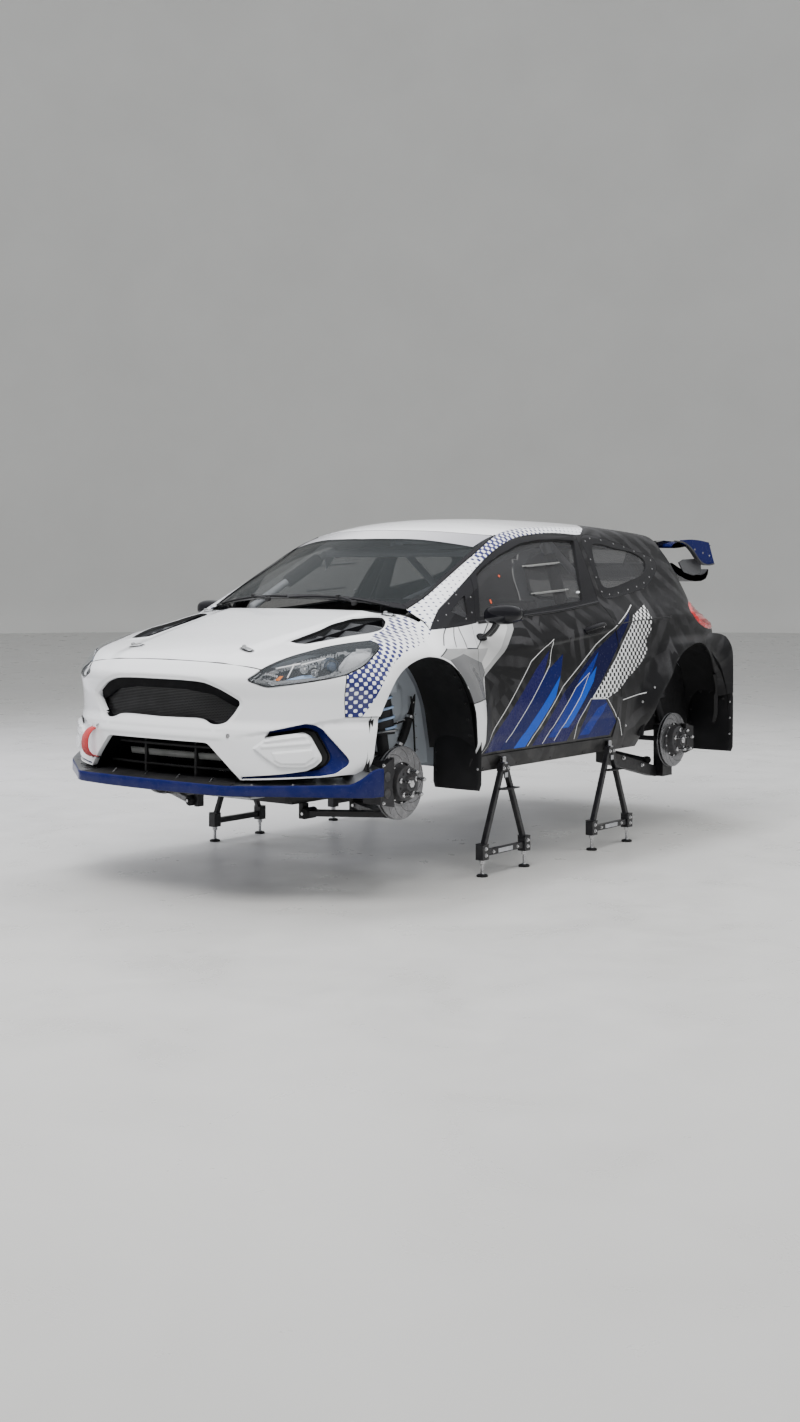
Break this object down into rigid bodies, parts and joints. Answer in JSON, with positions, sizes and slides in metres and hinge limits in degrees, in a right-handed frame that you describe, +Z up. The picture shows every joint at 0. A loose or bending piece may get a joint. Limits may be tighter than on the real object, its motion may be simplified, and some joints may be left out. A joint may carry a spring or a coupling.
{
  "type": "rally car on stands",
  "caption": "Small hatchback rally car without wheels on A-frame stands: roll cage, bucket seats, rear wing, opening doors, lift-off bonnet, hinged tailgate, steered hubs.",
  "frame": {"origin": "floor point under the middle of the whole thing", "axes": "+X to the car's left, -Y towards its nose, +Z up"},
  "size_m": [2, 4.065, 1.702],
  "materials": {
    "shell_paint": "satin",
    "satin_black": "satin",
    "roof_paint": "gloss",
    "white_paint": "gloss",
    "navy_paint": "gloss",
    "gloss_black": "gloss",
    "black_plastic": "matt",
    "grille_black": "matt",
    "glass": "clear",
    "smoked_glass": "tinted polycarbonate",
    "lamp_glass": "clear",
    "red_lens": "gloss",
    "cabin_black": "matt",
    "suede": "suede",
    "seat_fabric": "woven",
    "cage_paint": "satin",
    "cast_metal": "cast",
    "black_steel": "satin",
    "strut_metal": "anodised",
    "bare_steel": "bare",
    "disc_steel": "machined",
    "liner_black": "matt",
    "flap_black": "satin",
    "guard_metal": "brushed",
    "red_webbing": "webbing",
    "stand_black": "gloss"
  },
  "bodies": {
    "chassis": {"floor_pan": "shell_paint", "body_sides": "satin_black", "roof_panel": "roof_paint", "windscreen": "glass", "quarter_windows": "smoked_glass", "front_wings": "white_paint", "front_bumper": "white_paint", "grilles": "grille_black", "front_splitter": "navy_paint", "headlights": "lamp_glass", "cowl_and_wipers": "black_plastic", "rear_bumper": "satin_black", "tail_lights": "red_lens", "dashboard": "cabin_black", "steering_wheel": "suede", "seats": "seat_fabric", "roll_cage": "cage_paint", "engine_block": "cast_metal", "suspension_arms": "black_steel", "subframes": "black_steel", "struts": "strut_metal", "driveshafts": "bare_steel", "arch_liners": "liner_black", "mudflaps": "flap_black", "skid_plate": "guard_metal", "exhaust": "bare_steel", "tow_strap": "red_webbing", "stands": "stand_black"},
    "bonnet": {"bonnet": "white_paint"},
    "door_left": {"door_left": "satin_black", "door_window_left": "smoked_glass", "mirror_left": "gloss_black"},
    "door_right": {"door_right": "satin_black", "door_window_right": "smoked_glass", "mirror_right": "gloss_black"},
    "tailgate": {"tailgate": "satin_black", "rear_window": "smoked_glass", "rear_wing": "navy_paint"},
    "knuckle_left": {"knuckle_left": "cast_metal"},
    "knuckle_right": {"knuckle_right": "cast_metal"},
    "hub_front_left": {"hub_front_left": "disc_steel"},
    "hub_front_right": {"hub_front_right": "disc_steel"},
    "hub_rear_left": {"hub_rear_left": "disc_steel"},
    "hub_rear_right": {"hub_rear_right": "disc_steel"},
    "steering_rack": {"steering_rack": "bare_steel"}
  },
  "joints": [
    {"name": "door_left_hinge", "type": "hinge", "parent": "chassis", "child": "door_left", "pos_m": [0.838, -0.7175, 0.75], "axis": [0.0523, 0, -0.9986], "range_deg": [0, 68]},
    {"name": "door_right_hinge", "type": "hinge", "parent": "chassis", "child": "door_right", "pos_m": [-0.838, -0.7175, 0.75], "axis": [0.0523, 0, 0.9986], "range_deg": [0, 68]},
    {"name": "bonnet_lift", "type": "slide", "parent": "chassis", "child": "bonnet", "axis": [0, 0, 1], "range_m": [0, 0.4]},
    {"name": "tailgate_hinge", "type": "hinge", "parent": "chassis", "child": "tailgate", "pos_m": [0, 1.5495, 1.616], "axis": [1, 0, 0], "range_deg": [0, 75]},
    {"name": "steer_left", "type": "hinge", "parent": "chassis", "child": "knuckle_left", "pos_m": [0.69, -1.2025, 0.355], "axis": [-0.1532, 0, 0.9882], "range_deg": [-28, 28]},
    {"name": "steer_right", "type": "hinge", "parent": "chassis", "child": "knuckle_right", "pos_m": [-0.69, -1.2025, 0.355], "axis": [0.1532, 0, 0.9882], "range_deg": [-28, 28]},
    {"name": "rack_slide", "type": "slide", "parent": "chassis", "child": "steering_rack", "axis": [1, 0, 0], "range_m": [-0.08, 0.08]},
    {"name": "hub_front_left_spin", "type": "hinge", "parent": "knuckle_left", "child": "hub_front_left", "pos_m": [0.74, -1.2025, 0.475], "axis": [1, 0, 0], "continuous": true},
    {"name": "hub_front_right_spin", "type": "hinge", "parent": "knuckle_right", "child": "hub_front_right", "pos_m": [-0.74, -1.2025, 0.475], "axis": [1, 0, 0], "continuous": true},
    {"name": "hub_rear_left_spin", "type": "hinge", "parent": "chassis", "child": "hub_rear_left", "pos_m": [0.74, 1.2905, 0.475], "axis": [1, 0, 0], "continuous": true},
    {"name": "hub_rear_right_spin", "type": "hinge", "parent": "chassis", "child": "hub_rear_right", "pos_m": [-0.74, 1.2905, 0.475], "axis": [1, 0, 0], "continuous": true}
  ],
  "couplings": [
    {"joint": "steer_right", "follows": "steer_left", "ratio": 1},
    {"joint": "rack_slide", "follows": "steer_left", "m_per_rad": -0.146}
  ]
}
